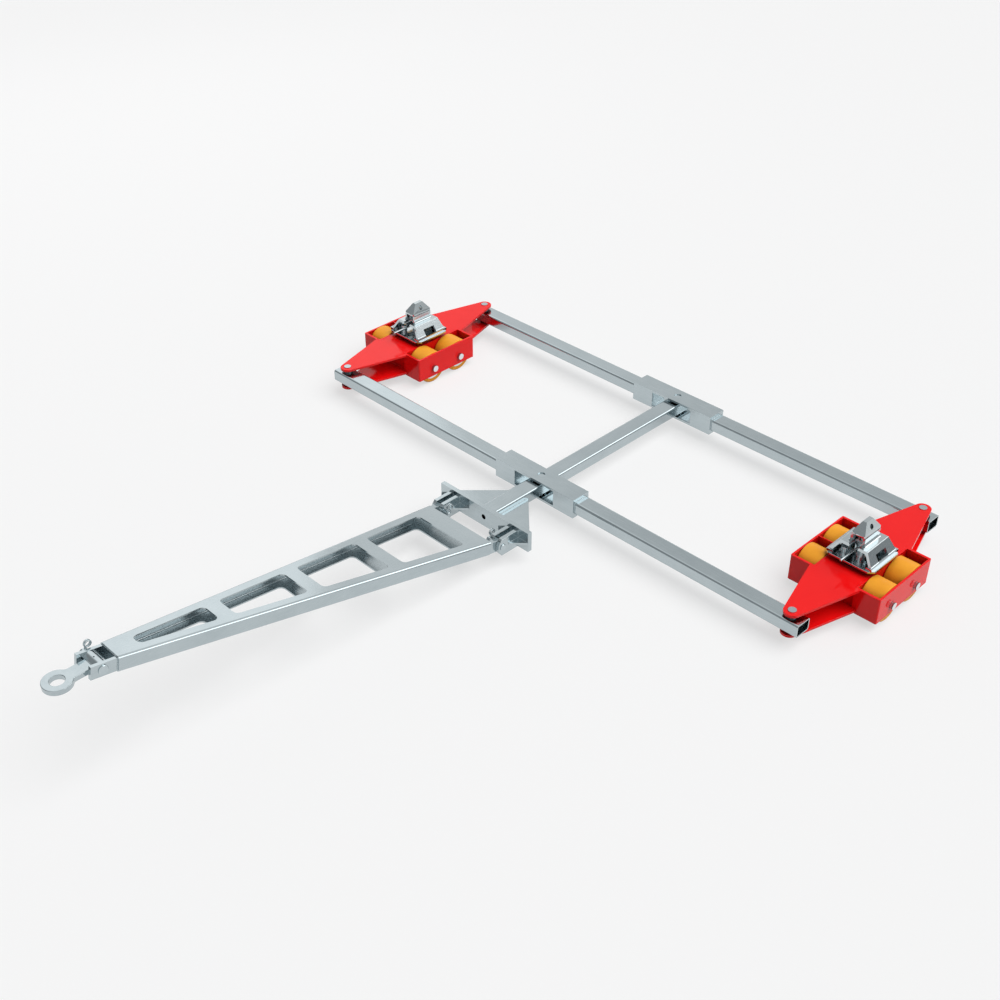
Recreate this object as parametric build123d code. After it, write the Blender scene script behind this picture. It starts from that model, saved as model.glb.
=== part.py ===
"""Container moving skate.

Two four-roller skates carry the lower corners of one end of a shipping container.
A linked frame keeps them parallel while the drawbar steers them.
X runs across the container, -Y points to the towing eye and Z points up from the floor.
Sizes are in millimetres.
"""
import os
from math import acos, atan2, cos, degrees, hypot, radians, sin, sqrt, tan

from build123d import *

# Clearances
running_fit = 0.05           # radial room of a turning pin, shaft or bearing
link_fit = 0.1               # radial room of a link pin in its beam bush
open_link_fit = 0.3          # radial room of a rear link pin, the last pivot to close the linkage
seat_fit = 0.05              # room round a piece that is fixed in a hole or pocket
face_gap = 0.3               # between flat faces that turn on each other

# Rollers
casting_spacing = 2259.0     # between the centres of the two lower corner castings of a container
roller_diameter = 140.0
roller_width = 80.0
roller_spacing = 151.0       # between the two axles of a cassette
tread_thickness = 10.0
tread_round = 3.0
core_bore_room = 5.5         # radial room between the axle and the core's middle
bearing_diameter = 52.0
bearing_width = 15.0
bearing_round = 1.0
axle_diameter = 25.0
axle_proud = 10.0            # axle end standing out of the cassette
axle_chamfer = 1.5

# Skate weldments
cassette_side = 8.0
cassette_end = 10.0
cassette_height = 103.0
cassette_divider = 5.0       # plate between the rollers of a skate's left cassette
cassette_bend = 6.0          # outer bend of a cassette's outer corners
cassette_gap = 160.0         # between the two cassettes of a skate
roller_side_room = 1.25
roller_end_room = 5.5
roller_proud = 4.0           # roller standing above the skate's top
skate_plate = 10.0
plate_shoulder = 20.0        # plate corner overlapping the cassette's end wall
tip_radius = 30.0            # plate end round the link pin
bulkhead_thickness = 8.0
bulkhead_setback = 10.0      # bulkhead behind the ends of the cassettes
link_pin_diameter = 25.0
link_head_diameter = 29.0
link_head_height = 3.0
link_collar_diameter = 38.0
link_collar_height = 6.0

# Cross beams and centre bar
beam_spacing = 810.0         # front pivot to rear pivot
tube_width = 70.0
tube_height = 50.0
tube_wall = 5.0
tube_inner_corner = 4.0
tube_overhang = 49.0         # tube end beyond the link pin
end_bush_wall = 7.5
plate_room = 12.0            # between a tube and the skate plates
steer_limit = 45.0
window_room = 8.0            # left at the sides of a sleeve's window at the steering limit
stop_room = 8.0              # left between a sleeve and a bar gusset at the steering limit
sleeve_length = 400.0
sleeve_side = 7.0
sleeve_wall = 8.0            # inner wall between a tube's end and the window
sleeve_cap = 9.0             # sleeve plate above and below the window
bar_room = 6.0               # between the centre bar and the sleeve plates
pivot_pin_diameter = 30.0
pivot_bush_wall = 7.5
pivot_pin_recess = 4.0       # pin top below the sleeve's top
pivot_head_rim = 10.0
pivot_head_height = 6.0
bar_nose = 286.0             # centre bar ahead of the front pivot
bar_tail = 48.0              # centre bar behind the rear pivot

# Cross plate and clevises
cross_plate_thickness = 18.0
cross_plate_height = 80.0
vent_diameter = 20.0
gusset_thickness = 8.0
clevis_spread = 300.0        # between the two clevises
clevis_reach = 76.0          # cross plate to pin axis
clevis_drop = 4.0            # pin axis below the beams' middle
lug_thickness = 15.0
lug_half_height = 35.0
lug_nose = 20.0              # pin axis to the lug's front
lug_nose_cut = (15.0, 21.0)  # cut corners of the nose, along Y and along Z
ear_thickness = 19.0
ear_side_room = 0.5
lug_gusset_leg = 50.0
clevis_pin_diameter = 20.0
clevis_head_diameter = 26.0
clevis_head_height = 4.0
pin_tail = 25.0              # pin end that takes the spring clip
pin_chamfer = 1.5

# Spring clips
clip_wire = 4.5
clip_ring_radius = 11.0
clip_ring_rise = 26.5        # ring centre above the pin axis
clip_waist_radius = 6.0
clip_hug_end = -60.0         # where the sprung leg leaves the pin, in degrees from level
clip_flare_radius = 8.0
clip_flare_turn = 50.0
clip_leg = 22.0              # straight leg below the pin axis
clip_room = 0.15             # radial room in the pin's cross hole

# Drawbar
drawbar_pitch = 11.0         # rise of the drawbar from the clevises to the eye
drawbar_setback = 49.0       # clevis pin to the rear edge of the shells
drawbar_length = 1407.0
drawbar_height = 54.0
drawbar_overhang = 26.0      # rear width beyond the clevis spread
drawbar_sheet = 5.0
drawbar_edge = 10.0          # outer bend radius
cutout_count = 4
cutout_gap = 56.0
cutout_rear = 91.0           # rear edge to the first cut-out
cutout_front = 84.0          # last cut-out to the front edge
cutout_border = 36.0
cutout_corner = 18.0
ear_length = 150.0           # pin axis to the ear's inner end
fork_width = 88.0
fork_slot = 64.0
fork_tail = 76.0             # fork inside the shells
fork_nose = 87.0             # fork ahead of the shells
fork_slot_depth = 103.0
fork_pin_setback = 40.0      # fork tips to the pin axis

# Towing eye
eye_pin_diameter = 20.0
eye_head_diameter = 32.0
eye_head_height = 4.0
eye_reach = 120.0            # pin axis to ring centre
eye_radius = 46.0
eye_hole = 45.0
eye_thickness = 18.0
eye_shank = 48.0
eye_blend = 12.0
eye_round = 2.0
eye_boss_radius = 21.0
lube_hole = 5.0

# Container locks
turntable_diameter = 150.0
turntable_thickness = 17.7
king_pin_diameter = 50.0
king_ring_rim = 10.0
king_ring_height = 8.0
base_length = 194.0          # along X
base_width = 180.0           # along Y
base_thickness = 8.0
base_chamfer = 18.0
stud_diameter = 26.0
stud_height = 22.0
stud_x = -43.0
stud_y = -45.0
foot_outer = 89.0            # from the lock's middle to the outer edge of a foot
foot_inner = 66.0
foot_height = 10.0
foot_half_width = 84.0
wall_foot_x = 82.0           # outer face of the leaning wall at the foot
wall_top_x = 53.5            # and at the shoulder
wall_foot_y = 77.0
wall_top_y = 64.0
wall_thickness = 9.0
rear_wall = 9.0              # wall opposite the lever, at the shoulder
shoulder_height = 54.5       # shoulder above the base plate
shoulder_thickness = 9.5
seat_step = 2.0              # casting seats above the middle of the shoulder
collar_half_gap = 19.5
collar_wall = 9.0
collar_height = 31.5
collar_half_width = 47.0
collar_fillet = 8.0
shoulder_round = 3.0
foot_fillet = 5.0
notch_half_width = 17.0
notch_wall = 6.0             # metal left between the notch and the shaft bore
window_half_width = 30.0
window_height = 24.0
shaft_diameter = 32.0
hub_diameter = 52.0
head_gap = 2.0               # between the collar and the head
head_half_width = 27.0
head_half_length = 50.0
head_end_radius = 54.0
head_skirt = 6.0             # upright edge under the slopes
head_height = 44.0
ridge_half_width = 7.5
ridge_half_length = 20.0
head_hole = 18.0
head_hole_height = 23.0
lever_diameter = 8.0
lever_reach = 140.0
lever_height = 33.0          # lever above the base plate
lever_socket = 18.0          # lever inside the hub
lever_chamfer = 1.0

# Places that follow from the sizes
skate_x = casting_spacing / 2
pivot_y = beam_spacing / 2
axle_z = roller_diameter / 2
plate_top = roller_diameter - roller_proud
beam_z = plate_top - skate_plate - plate_room - tube_height / 2
plate_bottom = beam_z - tube_height / 2 - plate_room - skate_plate
plates_low = plate_bottom + skate_plate    # space between the two plates of a skate
plates_high = plate_top - skate_plate
cassette_width = roller_width + 2 * (roller_side_room + cassette_side)
cassette_half = (roller_spacing + roller_diameter) / 2 + roller_end_room + cassette_end
roller_x = (cassette_gap + cassette_width) / 2
steer = radians(steer_limit)
end_bush_radius = link_pin_diameter / 2 + end_bush_wall
pivot_bush_radius = pivot_pin_diameter / 2 + pivot_bush_wall
sleeve_width = tube_width + 2 * sleeve_side
window_z = tube_height + 2 * bar_room
sleeve_height = window_z + 2 * sleeve_cap
bar_swing = tube_width / 2 / cos(steer)
window_half = sleeve_width / 2 * tan(steer) + bar_swing + window_room
tube_inner_end = window_half + sleeve_wall
bar_front = -pivot_y - bar_nose
bar_rear = pivot_y + bar_tail
plate_face = bar_front - cross_plate_thickness
clevis_y = plate_face - clevis_reach
clevis_z = beam_z - clevis_drop
ear_gap = ear_thickness + 2 * ear_side_room
lug_inner = clevis_spread / 2 - ear_gap / 2
lug_outer = clevis_spread / 2 + ear_gap / 2
lug_gusset_inner = lug_inner - lug_thickness
lug_gusset_outer = lug_outer + lug_thickness
cross_plate_half = lug_gusset_outer + lug_gusset_leg
drawbar_front = drawbar_setback + drawbar_length
drawbar_rear_half = (clevis_spread + drawbar_overhang) / 2
drawbar_front_half = fork_width / 2 + drawbar_sheet + ear_side_room
drawbar_taper = (drawbar_rear_half - drawbar_front_half) / drawbar_length
drawbar_inside = drawbar_height / 2 - drawbar_sheet
side_sheet = drawbar_sheet * hypot(1, drawbar_taper)
fork_tip = drawbar_front + fork_nose
eye_pin_reach = fork_tip - fork_pin_setback
pitch = radians(drawbar_pitch)
eye_y = clevis_y - eye_pin_reach * cos(pitch)
eye_z = clevis_z + eye_pin_reach * sin(pitch)
turntable_low = plate_top + face_gap
turntable_high = turntable_low + turntable_thickness
base_top = turntable_high + base_thickness
shoulder_z = base_top + shoulder_height
collar_top = shoulder_z + collar_height
head_low = collar_top + head_gap
origin_y = (eye_y - eye_reach - eye_radius + bar_rear) / 2


def block(x, y, z):
    """A box between three pairs of limits."""
    spans = (x, y, z)
    middle = [(low + high) / 2 for low, high in spans]
    return Pos(*middle) * Box(*[high - low for low, high in spans])


def post(radius, low, high, x=0.0, y=0.0):
    """An upright round bar."""
    return Pos(x, y, (low + high) / 2) * Cylinder(radius, high - low)


def rod_x(radius, start, end, y=0.0, z=0.0):
    """A round bar across the object."""
    return Pos((start + end) / 2, y, z) * Rot(0, 90, 0) * Cylinder(radius, end - start)


def rod_y(radius, start, end, x=0.0, z=0.0):
    """A round bar along the object."""
    return Pos(x, (start + end) / 2, z) * Rot(90, 0, 0) * Cylinder(radius, end - start)


def slab(points, low, high):
    """A flat plate with a straight-edged plan."""
    return Pos(0, 0, low) * extrude(Polygon(*points, align=None), amount=high - low, dir=(0, 0, 1))


def on_side(piece, side):
    """The piece as made for the right-hand side, or its mirror image on the left."""
    return piece if side > 0 else mirror(piece, about=Plane.YZ)


def save(node, *pieces):
    """Write one node, with the origin on the floor in the middle of the object."""
    solids = [Pos(0, -origin_y, 0) * solid for piece in pieces for solid in piece.solids()]
    export_step(solids[0] if len(solids) == 1 else Compound(children=solids), f"parts/{node}.step")


def tube_section(grow=0.0):
    corner = tube_inner_corner + tube_wall + grow
    return RectangleRounded(tube_width + 2 * grow, tube_height + 2 * grow, corner)


def tube_profile():
    """Section of the rectangular tube, with its hollow."""
    return tube_section() - tube_section(-tube_wall)


# Centre bar with its cross plate and clevises
def centre_bar():
    bar = extrude(Plane.XZ * tube_profile(), amount=bar_rear - bar_front)
    bar = Pos(0, bar_rear, beam_z) * bar
    for y in (-pivot_y, pivot_y):
        bar -= post(pivot_bush_radius + seat_fit, beam_z - tube_height, beam_z + tube_height, y=y)
    return bar


def pivot_bush(y):
    """Bush through the centre bar that turns on the sleeve's pivot pin."""
    half = window_z / 2 - face_gap
    bush = post(pivot_bush_radius, beam_z - half, beam_z + half, y=y)
    return bush - post(pivot_pin_diameter / 2 + running_fit, beam_z - half, beam_z + half, y=y)


def cross_plate():
    x = (-cross_plate_half, cross_plate_half)
    z = (beam_z - cross_plate_height / 2, beam_z + cross_plate_height / 2)
    plate = block(x, (plate_face, bar_front), z)
    return plate - rod_y(vent_diameter / 2, plate_face, bar_front, z=beam_z)


def gussets():
    """Bar gussets, whose slanted edges stop the steering, and the small gussets beside the lugs."""
    low, high = beam_z - gusset_thickness / 2, beam_z + gusset_thickness / 2
    bar_side = tube_width / 2
    leg = bar_nose - bar_side - sqrt(2) * (sleeve_width / 2 + stop_room)
    corners = [(bar_side, bar_front), (bar_side + leg, bar_front), (bar_side, bar_front + leg)]
    pieces = [slab(corners, low, high)]
    for x, out in ((lug_gusset_inner, -lug_gusset_leg), (lug_gusset_outer, lug_gusset_leg)):
        corners = [(x, plate_face), (x + out, plate_face), (x, plate_face - lug_gusset_leg)]
        pieces.append(slab(corners, low - clevis_drop, high - clevis_drop))
    return [on_side(piece, side) for side in (-1, 1) for piece in pieces]


def clevis_lug(start):
    """Upright lug with cut corners at its nose."""
    x = (start, start + lug_thickness)
    front, (cut_y, cut_z) = clevis_y - lug_nose, lug_nose_cut
    upper = [
        (plate_face, clevis_z), (front, clevis_z), (front, clevis_z + lug_half_height - cut_z),
        (front + cut_y, clevis_z + lug_half_height), (plate_face, clevis_z + lug_half_height),
    ]
    side_face = Plane.YZ * Polygon(*upper, align=None)
    half = Pos(start, 0, 0) * extrude(side_face, amount=lug_thickness, dir=(1, 0, 0))
    lug = half + mirror(half, about=Plane.XY.offset(clevis_z))
    return lug - rod_x(clevis_pin_diameter / 2 + seat_fit, *x, clevis_y, clevis_z)


def headed_pin(diameter, head_diameter, head_height, grip):
    """Pin along X: head beyond the grip on the right, a drilled tail for the clip on the left."""
    radius = diameter / 2
    pin = rod_x(radius, grip[0] - pin_tail, grip[1])
    pin = chamfer(pin.edges().group_by(Axis.X)[0], pin_chamfer)
    head = rod_x(head_diameter / 2, grip[1], grip[1] + head_height)
    pin += chamfer(head.edges().group_by(Axis.X)[-1], pin_chamfer)
    return pin - post(clip_wire / 2 + clip_room, -radius, radius, x=grip[0] - pin_tail / 2)


def spring_clip(pin_diameter):
    """Bent wire clip in the YZ plane: straight leg through the pin, loop above, sprung leg round the pin."""
    hug_radius = pin_diameter / 2 + face_gap + clip_wire / 2
    ring = Vector(clip_ring_radius, clip_ring_rise)
    # The waist touches the loop and the arc round the pin from outside
    to_pin = hug_radius + clip_waist_radius
    to_ring = clip_ring_radius + clip_waist_radius
    along = (to_pin**2 - to_ring**2 + ring.length**2) / (2 * ring.length)
    aside = sqrt(to_pin**2 - along**2)
    axis = ring.normalized()
    waist = axis * along + Vector(axis.Y, -axis.X) * aside
    ring_turn = degrees(atan2(waist.Y - ring.Y, waist.X - ring.X))
    pin_turn = degrees(atan2(waist.Y, waist.X))
    flare = Vector(hug_radius + clip_flare_radius, 0).rotate(Axis.Z, clip_hug_end)
    path = Wire(
        [
            Line((0, -clip_leg), (0, ring.Y)).edge(),
            CenterArc(ring, clip_ring_radius, 180, ring_turn - 180).edge(),
            CenterArc(waist, clip_waist_radius, ring_turn + 180, pin_turn - ring_turn).edge(),
            CenterArc((0, 0), hug_radius, pin_turn, clip_hug_end - pin_turn).edge(),
            CenterArc(flare, clip_flare_radius, clip_hug_end + 180, clip_flare_turn).edge(),
        ]
    )
    wire = sweep(Plane(path @ 0, z_dir=path % 0) * Circle(clip_wire / 2), path=path)
    return Rot(0, 0, 90) * Rot(90, 0, 0) * wire


# Cross beams
def sleeve(y):
    """Box with a socket in each end for the tubes of a beam, and a window for the centre bar."""
    body = Box(sleeve_length, sleeve_width, sleeve_height)
    socket = Pos(tube_inner_end, 0, 0) * extrude(Plane.YZ * tube_section(seat_fit), amount=sleeve_length)
    body -= socket + mirror(socket, about=Plane.YZ)
    body -= Box(2 * window_half, sleeve_width, window_z)
    body -= Cylinder(pivot_pin_diameter / 2 + seat_fit, sleeve_height)
    return Pos(0, y, beam_z) * body


def beam_tube(y, side):
    inner, outer = tube_inner_end, skate_x + tube_overhang
    tube = Pos(inner, 0, 0) * extrude(Plane.YZ * tube_profile(), amount=outer - inner)
    tube -= post(end_bush_radius + seat_fit, -tube_height, tube_height, x=skate_x)
    return Pos(0, y, beam_z) * on_side(tube, side)


def end_bush(y, side, fit):
    """Bush in a tube's end that turns on the skate's link pin."""
    x = side * skate_x
    low, high = plates_low + face_gap, plates_high - face_gap
    return post(end_bush_radius, low, high, x, y) - post(link_pin_diameter / 2 + fit, low, high, x, y)


def pivot_pin(y):
    """Pin fixed in the sleeve, with a broad head under it."""
    low, high = beam_z - sleeve_height / 2, beam_z + sleeve_height / 2 - pivot_pin_recess
    radius = pivot_pin_diameter / 2
    head = post(radius + pivot_head_rim, low - pivot_head_height, low, y=y)
    return head + post(radius, low, high, y=y)


# Drawbar, drawn level with the clevis pin at the origin
def drawbar_side(reach):
    """Half width of the drawbar at a distance ahead of the clevis pin."""
    return drawbar_rear_half - drawbar_taper * (reach - drawbar_setback)


def drawbar_plan(start, end, inset):
    """Tapered plan of the drawbar between two distances, moved in from its sides."""
    wide, narrow = drawbar_side(start) - inset, drawbar_side(end) - inset
    return Polygon((-wide, -start), (-narrow, -end), (narrow, -end), (wide, -start), align=None)


def long_edges(solid):
    """Edges that run along the drawbar."""
    def runs_along(edge):
        x, y, z = (abs(part) for part in edge % 0.5)
        return y > max(x, z)

    return solid.edges().filter_by(runs_along)


def drawbar_hollow(inset):
    """Space inside the shells, open at both ends and moved in from the sheet by a clearance."""
    start, end = drawbar_setback - drawbar_sheet, drawbar_front + drawbar_sheet
    space = extrude(drawbar_plan(start, end, side_sheet + inset), amount=drawbar_inside - inset, both=True)
    return fillet(long_edges(space), drawbar_edge - drawbar_sheet)


def drawbar_shells():
    """Upper and lower folded shells that meet at mid height."""
    box = extrude(drawbar_plan(drawbar_setback, drawbar_front, 0), amount=drawbar_height / 2, both=True)
    box = fillet(long_edges(box), drawbar_edge) - drawbar_hollow(0)
    free = drawbar_length - cutout_rear - cutout_front
    cutout_length = (free - (cutout_count - 1) * cutout_gap) / cutout_count
    for number in range(cutout_count):
        start = drawbar_setback + cutout_rear + number * (cutout_length + cutout_gap)
        plan = drawbar_plan(start, start + cutout_length, cutout_border)
        box -= extrude(fillet(plan.vertices(), cutout_corner), amount=drawbar_height, both=True)
    return [split(box, bisect_by=Plane.XY, keep=keep) for keep in (Keep.TOP, Keep.BOTTOM)]


def drawbar_ear(side):
    """Thick ear between the lugs, fitted into the rear corner of the shells."""
    x = (clevis_spread / 2 - ear_thickness / 2, clevis_spread / 2 + ear_thickness / 2)
    z = (seat_fit - drawbar_inside, drawbar_inside - seat_fit)
    ear = block(x, (-ear_length, -drawbar_setback), z) & drawbar_hollow(seat_fit)
    ear += block(x, (-drawbar_setback, 0), z) + rod_x(z[1], *x)
    return on_side(ear - rod_x(clevis_pin_diameter / 2 + running_fit, *x), side)


def drawbar_fork():
    """Fork whose tail fits into the front of the shells."""
    half, slot = fork_width / 2, fork_slot / 2
    z = (seat_fit - drawbar_inside, drawbar_inside - seat_fit)
    fork = block((-half, half), (-drawbar_front, fork_tail - drawbar_front), z) & drawbar_hollow(seat_fit)
    fork += block((-half, half), (-fork_tip, -drawbar_front), z)
    fork -= block((-slot, slot), (-fork_tip, fork_slot_depth - fork_tip), z)
    return fork - rod_x(eye_pin_diameter / 2 + seat_fit, -half, half, -eye_pin_reach)


def tow_eye():
    """Ring and shank in one forging with a cross boss on the eye pin."""
    plan = Pos(0, -eye_reach) * Circle(eye_radius) + Pos(0, -eye_reach / 2) * Rectangle(eye_shank, eye_reach)
    neck = plan.vertices().filter_by_position(Axis.Y, -eye_reach, -eye_pin_diameter / 2)
    plan = fillet(neck, eye_blend) - Pos(0, -eye_reach) * Circle(eye_hole / 2)
    eye = extrude(plan, amount=eye_thickness / 2, both=True)
    rim = eye.faces().sort_by(Axis.Z)
    eye = fillet((rim[0].edges() + rim[-1].edges()).filter_by(GeomType.CIRCLE), eye_round)
    half = fork_slot / 2 - face_gap
    eye += rod_x(eye_boss_radius, -half, half)
    eye -= rod_x(eye_pin_diameter / 2 + running_fit, -half, half)
    return eye - post(lube_hole / 2, 0, eye_boss_radius)


# Skates, drawn about their own middle
def plate_edge():
    """Corner of the plate at the cassette, and the point where its straight edge meets the rounded tip."""
    x, reach = cassette_gap / 2 + plate_shoulder, pivot_y - cassette_half
    turn = atan2(x, reach) + acos(tip_radius / hypot(x, reach))
    return Vector(x, cassette_half), Vector(tip_radius * sin(turn), pivot_y - tip_radius * cos(turn))


def skate_plan():
    """Long diamond with rounded tips, narrowed between the cassettes."""
    waist = cassette_gap / 2
    corner, touch = plate_edge()
    side = Polyline((waist, 0), (waist, cassette_half), corner, touch)
    tip = ThreePointArc(touch, (0, pivot_y + tip_radius), (-touch.X, touch.Y))
    far_side = mirror(side, about=Plane.YZ)
    half = make_face([*side.edges(), *tip.edges(), *far_side.edges(), Line((-waist, 0), (waist, 0)).edge()])
    return half + mirror(half, about=Plane.XZ)


def skate_plate_at(low):
    plate = Pos(0, 0, low) * extrude(skate_plan(), amount=skate_plate, dir=(0, 0, 1))
    for y in (-pivot_y, pivot_y):
        plate -= post(link_pin_diameter / 2 + seat_fit, low, low + skate_plate, y=y)
    return plate


def bulkheads():
    """Upright plates between the two cassettes, which hold the skate plates apart."""
    x = (-cassette_gap / 2, cassette_gap / 2)
    face = cassette_half - bulkhead_setback
    plate = block(x, (face - bulkhead_thickness, face), (plates_low, plates_high))
    return [plate, mirror(plate, about=Plane.XZ)]


def cassette(side):
    """Open box of welded plates round two rollers."""
    inner, outer = cassette_gap / 2, cassette_gap / 2 + cassette_width
    z = (plate_top - cassette_height, plate_top)
    box = block((inner, outer), (-cassette_half, cassette_half), z)
    box = fillet(box.edges().filter_by(Axis.Z).group_by(Axis.X)[-1], cassette_bend)
    well_x = (inner + cassette_side, outer - cassette_side)
    well_end = cassette_half - cassette_end
    box -= block(well_x, (-well_end, well_end), z)
    if side < 0:
        box += block(well_x, (-cassette_divider / 2, cassette_divider / 2), z)
    for y in (-roller_spacing / 2, roller_spacing / 2):
        box -= rod_x(axle_diameter / 2 + seat_fit, inner, outer, y, axle_z)
    return on_side(box, side)


def axle(side, y):
    """Axle fixed across a cassette, with its outer end standing out."""
    inner, outer = cassette_gap / 2, cassette_gap / 2 + cassette_width
    bar = rod_x(axle_diameter / 2, inner, outer + axle_proud, y, axle_z)
    return on_side(chamfer(bar.edges().group_by(Axis.X)[-1], axle_chamfer), side)


def link_pin(y):
    """Link pin with a flat head on the top plate, and the collar under the bottom plate."""
    radius = link_pin_diameter / 2
    low = plate_bottom - face_gap - link_collar_height
    head = post(link_head_diameter / 2, plate_top, plate_top + link_head_height, y=y)
    pin = head + post(radius, low, plate_top, y=y)
    collar = post(link_collar_diameter / 2, low, low + link_collar_height, y=y)
    return [pin, collar - post(radius + seat_fit, low, low + link_collar_height, y=y)]


def roller_tread():
    half, radius = roller_width / 2, roller_diameter / 2
    tread = rod_x(radius, -half, half)
    tread = fillet(tread.edges().filter_by(GeomType.CIRCLE), tread_round)
    return tread - rod_x(radius - tread_thickness, -half, half)


def roller_core():
    """Core under the tread, with a ball bearing in each end."""
    half, radius = roller_width / 2, roller_diameter / 2 - tread_thickness - seat_fit
    core = rod_x(radius, -half, half) - rod_x(axle_diameter / 2 + core_bore_room, -half, half)
    bearings = []
    for x in ((-half, bearing_width - half), (half - bearing_width, half)):
        core -= rod_x(bearing_diameter / 2 + seat_fit, *x)
        ring = rod_x(bearing_diameter / 2, *x)
        ring = fillet(ring.edges().filter_by(GeomType.CIRCLE), bearing_round)
        bearings.append(ring - rod_x(axle_diameter / 2 + running_fit, *x))
    return [core, *bearings]


# Container locks, drawn about the middle of a skate
def turntable():
    """Disc with a king pin through the top plate, and the ring that keeps it there."""
    radius = king_pin_diameter / 2
    ring_high = plates_high - face_gap
    ring_low = ring_high - king_ring_height
    disc = post(turntable_diameter / 2, turntable_low, turntable_high) + post(radius, ring_low, turntable_low)
    ring = post(radius + king_ring_rim, ring_low, ring_high) - post(radius + seat_fit, ring_low, ring_high)
    return [disc, ring]


def lock_base():
    """Base plate with cut corners, and the stop stud on it."""
    plan = chamfer(Rectangle(base_length, base_width).vertices(), base_chamfer)
    plate = Pos(0, 0, turntable_high) * extrude(plan, amount=base_thickness, dir=(0, 0, 1))
    stud = post(stud_diameter / 2, base_top, base_top + stud_height, stud_x, stud_y)
    return [plate, chamfer(stud.edges().group_by(Axis.Z)[-1], pin_chamfer)]


def lock_housing():
    """Cast hood with leaning walls, open to the lever, and a collar either side of the shaft."""
    foot_top = base_top + foot_height
    run = (wall_foot_x - wall_top_x) / (shoulder_z - foot_top)
    thick = wall_thickness * hypot(1, run)
    under = shoulder_z - shoulder_thickness
    inner_top = wall_top_x + run * shoulder_thickness - thick
    collar_out = collar_half_gap + collar_wall
    middle_z = shoulder_z - seat_step
    foot, shoulder, collar = (wall_foot_x, foot_top), (wall_top_x, shoulder_z), (collar_out, shoulder_z)
    section = Polygon(
        (0, base_top), (foot_outer, base_top), (foot_outer, foot_top), foot, shoulder, collar,
        (collar_out, collar_top), (collar_half_gap, collar_top), (collar_half_gap, middle_z), (0, middle_z),
        align=None,
    )
    for corner, radius in ((foot, foot_fillet), (shoulder, shoulder_round), (collar, collar_fillet)):
        section = fillet(section.vertices().sort_by_distance(corner)[0], radius)
    front = Polygon(
        (0, base_top), (foot_half_width, base_top), (foot_half_width, foot_top), (wall_foot_y, foot_top),
        (wall_top_y, shoulder_z), (collar_half_width, shoulder_z), (collar_half_width, collar_top),
        (0, collar_top),
        align=None,
    )
    hollow = Polygon(
        (0, base_top), (foot_inner, base_top), (foot_inner, foot_top), (wall_foot_x - thick, foot_top),
        (inner_top, under), (0, under),
        align=None,
    )
    across = extrude(Plane.XZ * section, amount=base_width, both=True)
    along = extrude(Plane.YZ * front, amount=base_length, both=True)
    inside = Pos(0, wall_top_y - rear_wall, 0) * extrude(Plane.XZ * hollow, amount=base_width, dir=(0, -1, 0))
    body = (across + mirror(across, about=Plane.YZ)) & (along + mirror(along, about=Plane.XZ))
    body -= inside + mirror(inside, about=Plane.YZ)
    bore = shaft_diameter / 2 + running_fit
    body -= post(bore, under, collar_top)
    notch_end = -(bore + notch_wall)
    body -= block((-notch_half_width, notch_half_width), (-base_width, notch_end), (under, shoulder_z))
    window_y = (-window_half_width, window_half_width)
    return body - block((-base_length, base_length), window_y, (foot_top, foot_top + window_height))


def twist_head():
    """Pointed head on a shaft, with the hub that takes the lever."""
    head_top = head_low + head_height
    ends = Circle(head_end_radius) & Rectangle(2 * head_half_width, 2 * head_half_length)
    head = Pos(0, 0, head_low) * extrude(ends, amount=head_height, dir=(0, 0, 1))
    for plane, wide, ridge in (
        (Plane.XZ, head_half_width, ridge_half_width),
        (Plane.YZ, head_half_length, ridge_half_length),
    ):
        skirt = head_low + head_skirt
        half = [(0, head_low), (wide, head_low), (wide, skirt), (ridge, head_top), (0, head_top)]
        slope = Polygon(*half, align=None)
        slope += mirror(slope, about=Plane.YZ)
        head &= extrude(plane * slope, amount=base_length, both=True)
    head -= rod_x(head_hole / 2, -head_half_width, head_half_width, z=head_low + head_hole_height)
    hub_low, hub_high = base_top + face_gap, shoulder_z - shoulder_thickness - face_gap
    head += post(shaft_diameter / 2, hub_low, head_low) + post(hub_diameter / 2, hub_low, hub_high)
    socket = (-hub_diameter / 2, lever_socket - hub_diameter / 2)
    return head - rod_y(lever_diameter / 2 + seat_fit, *socket, z=base_top + lever_height)


def lock_lever():
    """Round lever screwed into the hub."""
    y = (-lever_reach, lever_socket - hub_diameter / 2)
    lever = rod_y(lever_diameter / 2, *y, z=base_top + lever_height)
    return chamfer(lever.edges().group_by(Axis.Y)[0], lever_chamfer)


os.makedirs("parts", exist_ok=True)

# Root frame
save("centre_bar", centre_bar())
save("pivot_bushes", pivot_bush(-pivot_y), pivot_bush(pivot_y))
save("cross_plate", cross_plate())
save("gusset_plates", *gussets())
lug_starts = (lug_gusset_inner, lug_outer)
save("clevis_lugs", *[on_side(clevis_lug(start), side) for side in (-1, 1) for start in lug_starts])
clevis_grip = (lug_gusset_inner, lug_gusset_outer)
clevis_pin = headed_pin(clevis_pin_diameter, clevis_head_diameter, clevis_head_height, clevis_grip)
clevis_clip = Pos(lug_gusset_inner - pin_tail / 2, 0, 0) * spring_clip(clevis_pin_diameter)
clevis_place = Pos(0, clevis_y, clevis_z)
save("clevis_pins", *[clevis_place * on_side(clevis_pin, side) for side in (-1, 1)])
save("clevis_clips", *[clevis_place * on_side(clevis_clip, side) for side in (-1, 1)])

# Beams
for beam, y, fit in (("front", -pivot_y, link_fit), ("rear", pivot_y, open_link_fit)):
    save(f"{beam}_sleeve", sleeve(y))
    save(f"{beam}_tubes", beam_tube(y, -1), beam_tube(y, 1))
    save(f"{beam}_end_bushes", end_bush(y, -1, fit), end_bush(y, 1, fit))
    save(f"{beam}_pivot_pin", pivot_pin(y))

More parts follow.
